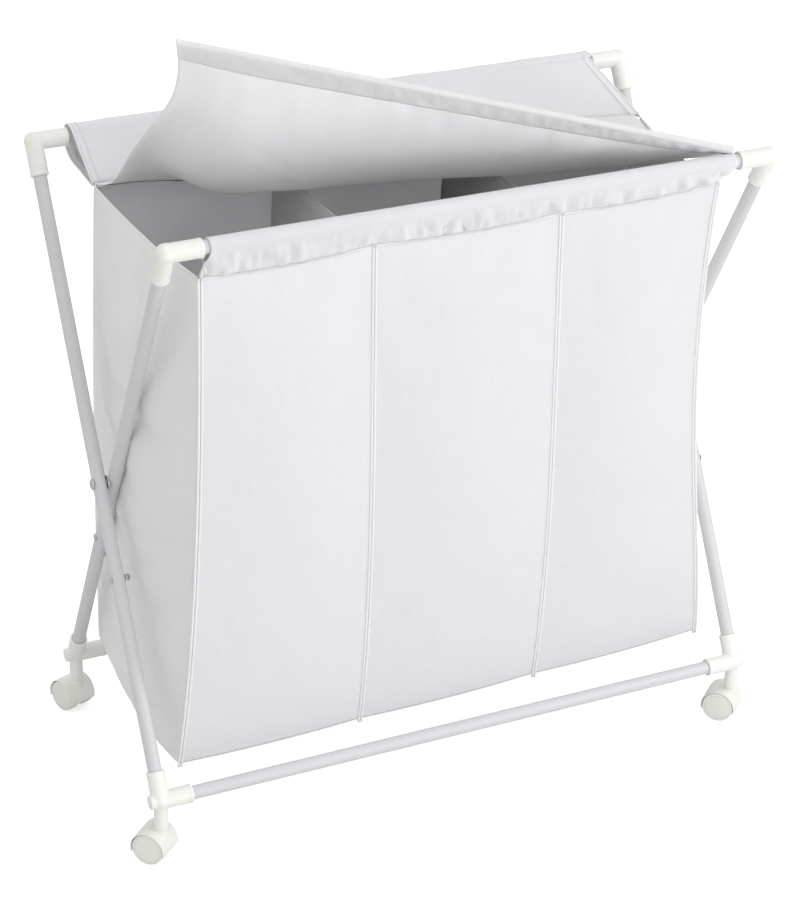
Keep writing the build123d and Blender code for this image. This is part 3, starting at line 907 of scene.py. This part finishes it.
bottom_rows, bottom_columns = 30, 79
left_foot, right_foot = walls["side_panel_left"][0][-1], walls["side_panel_right"][0][-1]
front_edge = resampled(front_settled[-1], bottom_columns)
back_edge = resampled(back_settled[-1], bottom_columns)
depth = shares(bottom_rows)[:, None, None]
bottom_points = front_edge[None] * (1 - depth) + back_edge[None] * depth
side_sag = (left_foot[:, 2] - (left_foot[0, 2] + (left_foot[-1, 2] - left_foot[0, 2])
                               * shares(wall_columns)))
bottom_points[..., 2] += resampled(side_sag[:, None], bottom_rows)
bottom_points[..., 0] = np.clip(bottom_points[..., 0], left_foot[:, 0].min() + 0.001,
                                right_foot[:, 0].max() - 0.001)
bottom = cloth_piece("bottom_panel_cloth", bottom_points, inner_cloth)
thicken(bottom, 0.0012, 1)
finish_piece(bottom, "bag_back", "inner_cloth", "bottom_panel")

# ---- Back casing ----
# A loose sleeve over the back rail. Its outer layer is slack and hangs in a shallow belly, its
# ends have a narrow turned hem, and it is sewn to the back panel and the lid along one seam.
back_stations = 150
back_line = np.linspace(-327, 330, back_stations)
rail_line = np.linspace(-334, 333, back_stations)


def slack_section(pull, slackness):
    """Near layer straight from the seam to the rail's top, far layer slack behind the rail."""
    tip = np.array((back_seam[0] + 3 - pull, back_seam[1] + 2 + 0.2 * pull))
    knots = [tip, tip * 0.5 + np.array((171, 752)) * 0.5, (171, 753), (177, 758.5), (185, 760.5),
             (195, 758), (204, 751), (212 - 12 * (1 - slackness), 738), (214 - 22 * (1 - slackness), 722),
             (200 - 16 * (1 - slackness), 712 + 3 * (1 - slackness)), (170 - pull * 0.5, 709 + 0.1 * pull),
             tip + np.array((6.0, -2.5)), tip + np.array((1.0, -2.2))]
    knots = np.array([np.array(k, float) for k in knots])
    # A Catmull-Rom curve through the knots
    padded = np.vstack([2 * knots[0] - knots[1], knots, 2 * knots[-1] - knots[-2]])
    curve = []
    for a, b, c, d in zip(padded, padded[1:], padded[2:], padded[3:]):
        for t in shares(5, endpoint=False):
            curve.append(0.5 * (2 * b + (c - a) * t + (2 * a - 5 * b + 4 * c - d) * t ** 2
                                + (3 * b - a - 3 * c + d) * t ** 3))
    curve.append(knots[-1])
    return np.array(curve)


sleeve = []
for x_seam, x_rail in zip(back_line, rail_line):
    pull = float(back_pull(x_seam))
    slackness = 0.45 + 0.55 * np.clip(1 - (x_seam + 327) / 420, 0, 1)
    section = slack_section(pull, slackness)
    rise = np.clip((section[:, 1] - 709) / 50, 0, 1)
    sleeve.append(np.stack([x_seam + (x_rail - x_seam) * rise, section[:, 0], section[:, 1]], 1))
sleeve = np.array(sleeve).transpose(1, 0, 2)
level = shares(len(sleeve))[:, None] + 0 * sleeve[..., 0]
ripple = gathers(sleeve[..., 0], level * 2, 11.0, 48.0)
sleeve[..., 1] += ripple * 1.8 * np.sin(pi * level) * (level > 0.5)
sleeve[..., 2] += ripple * 0.8 * np.sin(pi * level)
sleeve = placed(sleeve)
back_casing = cloth_piece("back_casing_cloth", sleeve, casing_cloth)
thicken(back_casing, 0.0011, 0)
finish_piece(back_casing, "bag_back", "casing_cloth", "back_casing")
end_welts = []
for column, inward in ((0, 0.004), (-1, -0.004)):
    edge = sleeve[:, column]
    end_welts.append(welt(edge, (1.0, 0.0, 0.0), 0.0026, 0.0026))
    second = edge + np.array((inward * 2.2, 0, 0))
    end_welts.append(welt(second, (1.0, 0.0, 0.0), 0.0022, 0.0016))
casing_hems = joined("back_casing_hems", end_welts, binding)
finish_piece(casing_hems, "bag_back", "casing_cloth")

# ---- Lid ----
# One sheet sewn along the back seam, with a rod in its front hem. The rod's right end lies on
# the front rail and its left end is lifted, so the cloth hangs between in a twisted belly.
lid_cloth = cloth_finish("lid cloth", (0.87, 0.872, 0.89), 0.9)
low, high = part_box("lid_rod")
rod_radius = 0.0025
rod_left = Vector((low.x, high.y - rod_radius, high.z - rod_radius))
rod_right = Vector((high.x, low.y + rod_radius, low.z + rod_radius))
lid_rows, lid_columns = 48, 84
hem_rows = 4
hem_depth = 0.023
seam_share = shares(lid_columns)
seam_x = -325 + 650 * seam_share
seam_line = placed(np.stack([seam_x, back_seam[0] - 1.5 - back_pull(seam_x) + 0 * seam_x,
                             back_seam[1] + 2.5 + 0.2 * back_pull(seam_x)], 1))
left_end, right_end = np.array(rod_left), np.array(rod_right)
rod_line = left_end + (right_end - left_end) * (-0.004 + 1.008 * seam_share)[:, None]
chord = np.linalg.norm(rod_line - seam_line, axis=1)
spare_cloth = np.interp(seam_share, (0, 0.15, 0.3, 0.7, 0.85, 1), (0.06, 0.12, 0.122, 0.09, 0.068, 0.028))
flat_reach = np.linalg.norm((rod_line - seam_line)[:, :2], axis=1)
belly = np.sqrt(3 / 8 * spare_cloth) * chord * chord / flat_reach
down = shares(160)[:, None]
hung = seam_line[None] * (1 - down[..., None]) + rod_line[None] * down[..., None]
# The belly is drawn by a curve and only softened by the cloth simulation. It is deeper towards
# the rod. The left edge is taut, and drops steeply from the rod.
edge_share = np.exp(-(seam_share / 0.09) ** 2)[None, :]
hung[..., 2] -= belly * down ** 1.5 * (1 - down) / 0.186 * (1 - edge_share) + \
    0.038 * down ** 4 * (1 - down) / 0.082 * edge_share
hung[..., 0] += 0.009 * down ** 6 * (1 - down) / 0.05 * edge_share
length = run_lengths(hung)[..., 1]
main_rows = lid_rows - 1 - hem_rows
hem_steps = hem_depth * np.linspace(1, 0, hem_rows + 1)[1:]
from_seam = np.stack([np.concatenate([np.linspace(0, total - hem_depth, main_rows + 1), total - hem_steps])
                      for total in length[-1]], 1)
lid_points = np.stack([np.stack([np.interp(from_seam[:, c], length[:, c], hung[:, c, k])
                                 for k in range(3)], 1) for c in range(lid_columns)], 1)
cut = np.zeros_like(lid_points)
cut[..., 0] = np.linspace(0, 0.664, lid_columns)[None, :]
cut[..., 1] = from_seam
lid = cloth_piece("lid_sheet", lid_points, lid_cloth, cut[..., :2])
sewn = [row * lid_columns + c for row in (0, lid_rows - 1) for c in range(lid_columns)]
settle(lid, sewn, 16, gravity=1.0, bending=0.6, cut=cut)
settled = read_grid(lid, lid_rows, lid_columns)

# The hem: the cloth goes round the rod and is stitched down below it.
hem_grid = settled[-1 - hem_rows:]
face = surface_normals(settled)[-1 - hem_rows:]
if face[..., 2].mean() < 0:
    face = -face
opening = face * np.linspace(0.0008, 0.0034, hem_rows + 1)[:, None, None]
upper, lower = hem_grid + opening, hem_grid - opening
beyond = hem_grid[-1] - hem_grid[-2]
beyond /= np.linalg.norm(beyond, axis=1, keepdims=True)
fold = [hem_grid[-1] + face[-1] * 0.0036 * cos(a) + beyond * 0.0038 * sin(a)
        for a in np.linspace(0.3, pi - 0.3, 9)]
hem_layers, hem_stations = 14, 230
hem_points = np.concatenate([resampled(upper, hem_layers), np.array(fold),
                             resampled(lower[::-1], hem_layers)])
hem_points = resampled(hem_points.transpose(1, 0, 2), hem_stations).transpose(1, 0, 2)
level = np.concatenate([shares(hem_layers), np.ones(len(fold)), np.linspace(1, 0, hem_layers)])
level = level[:, None] + 0 * hem_points[..., 0]
along_mm = np.linspace(0, 652, hem_stations)[None, :] + 0 * level
pucker = gathers(along_mm, level, 21.0, 12.0) * np.sin(pi * np.clip(level, 0, 1)) * \
    np.interp(along_mm, (0, 200, 652), (0.0006, 0.0012, 0.0024))
outward = surface_normals(hem_points)
hem_points = hem_points + outward * pucker[..., None]
hem = cloth_piece("lid_hem_casing", hem_points, lid_cloth)
thicken(hem, 0.0008, 0)
finish_piece(hem, "lid_hem", "lid_cloth")

# The sheet ends just inside the hem's mouth.
body_rows = lid_rows - hem_rows
body_points, body_flat = settled[:body_rows], cut[:body_rows, :, :2]
# Puckers run down from the stitch line and die out in the belly.
away = from_seam[body_rows - 1] - from_seam[:body_rows]
crease = gathers(body_flat[..., 0] * 1000, away * 14, 31.0, 30.0) * 0.0055
crease *= np.exp(-away / 0.05) * (1 - np.exp(-away / 0.01))
body_points = body_points + surface_normals(body_points) * crease[..., None]
lid.data = grid_mesh("lid_sheet", body_points, body_flat)
lid.data.materials.append(lid_cloth)
thicken(lid, 0.0010, 1)
lid.data.polygons.foreach_set("use_smooth", [True] * len(lid.data.polygons))
hem_line = settled[body_rows - 1]
drop = hem_line[-1] - hem_line[0]
reach = np.array((0.0, -abs(drop[2]), abs(drop[1])))
reach /= np.linalg.norm(reach)
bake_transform(lid)
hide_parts("lid_cloth")

tape_rows = 4
under = surface_normals(settled)[:tape_rows]
if under[..., 2].mean() > 0:
    under = -under
tape_points = settled[:tape_rows] + under * 0.0017
tape = cloth_piece("lid_seam_tape", tape_points, binding)
thicken(tape, 0.0008, 1)
finish_piece(tape, "lid_seam", "binding_tape", "lid_binding")
roll = welt(seam_line + np.array((0, 0.0004, -0.0008)), (0.0, 0.0, 1.0), 0.0034, 0.0034)
finish_piece(joined("lid_seam_roll", [roll], binding), "lid_seam", "binding_tape", "lid_binding")
hem_stitch = [hem_line * 0.9 + settled[body_rows] * 0.1
              + surface_normals(settled)[body_rows - 1] * side * 0.0019 for side in (-1, 1)]
stitches("lid_hem_stitches", hem_stitch, "lid_hem", "lid_cloth")
rod_white = material("rod plastic", 0.4, handled, (0.1, 0.00004), {},
                     Colour=(0.85, 0.85, 0.85, 1), Texture_scale=800.0, Dulling=0.1)
refinish("lid_rod", rod_white)

# ---- Own meshes ----
# The side walls, dividers, their hems and stitches, and the bottom each get a mesh of their own.
for name, (points, hem, sewing) in walls.items():
    wall = bpy.data.objects[f"{name}_cloth"]
    for piece in (wall, hem, sewing):
        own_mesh(piece)
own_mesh(bottom)

# ---- Floor, light and camera ----
# A plain pale studio: an even surround, one broad soft light from the front right, a low one
# under the lid and a weak one overhead. Floor and surround are white only to the camera.
floor_mesh = bpy.data.meshes.new("floor")
floor_half = 12.0
floor_mesh.from_pydata([(-floor_half, -floor_half, 0), (floor_half, -floor_half, 0),
                        (floor_half, floor_half, 0), (-floor_half, floor_half, 0)], [], [(0, 1, 2, 3)])
floor = linked("floor", floor_mesh)
floor_white = bpy.data.materials.new("studio floor")
floor_white.use_nodes = True
floor_shader = floor_white.node_tree.nodes["Principled BSDF"]
set_inputs(floor_shader, {"Base Color": (0.75, 0.75, 0.75, 1), "Roughness": 0.9,
                          "Emission Color": (1.0, 1.0, 1.0, 1)})
floor_seen = floor_white.node_tree.nodes.new("ShaderNodeLightPath").outputs["Is Camera Ray"]
glow = maths(floor_white.node_tree, "MULTIPLY", floor_seen, 0.62)
floor_white.node_tree.links.new(glow, floor_shader.inputs["Emission Strength"])
floor_mesh.materials.append(floor_white)

world = bpy.data.worlds.new("studio")
world.use_nodes = True
surround = world.node_tree.nodes["Background"].inputs
surround["Color"].default_value = (1.0, 1.0, 1.0, 1)
seen = world.node_tree.nodes.new("ShaderNodeLightPath").outputs["Is Camera Ray"]
world.node_tree.links.new(maths(world.node_tree, "MULTIPLY_ADD", seen, 0.17, 0.83), surround["Strength"])
bpy.context.scene.world = world
bpy.context.scene.view_settings.view_transform = "Standard"


def soft_light(name, position, size, power, aim):
    """A round area light that faces a point."""
    lamp = bpy.data.lights.new(name, "AREA")
    lamp.shape = "DISK"
    lamp.size = size
    lamp.energy = power
    holder = linked(name, lamp)
    holder.location = position
    holder.rotation_euler = (Vector(position) - Vector(aim)).to_track_quat("Z", "Y").to_euler()


soft_light("overhead", (-0.3, -0.6, 3.4), 1.6, 5.0, (0, 0, 0.5))
soft_light("front right", (2.3, -2.8, 1.8), 1.6, 35.0, (0.15, 0, 0.6))
soft_light("low front", (0.3, -2.8, 0.35), 1.4, 13.0, (0.2, 0, 0.8))

camera_data = bpy.data.cameras.new("camera")
camera_data.lens = 105.24
camera_data.sensor_width = 36.0
camera_data.shift_x = 0.0667
camera_data.clip_end = 50.0
camera = linked("camera", camera_data)
azimuth, elevation, roll = radians(24.343), radians(26.621), radians(0.33)
camera.matrix_world = (Matrix.Translation(Vector(placed((-1219.5, -2512.1, 1765.9))))
                       @ Matrix.Rotation(-azimuth, 4, "Z")
                       @ Matrix.Rotation(pi / 2 - elevation, 4, "X") @ Matrix.Rotation(roll, 4, "Z"))
bpy.context.scene.camera = camera
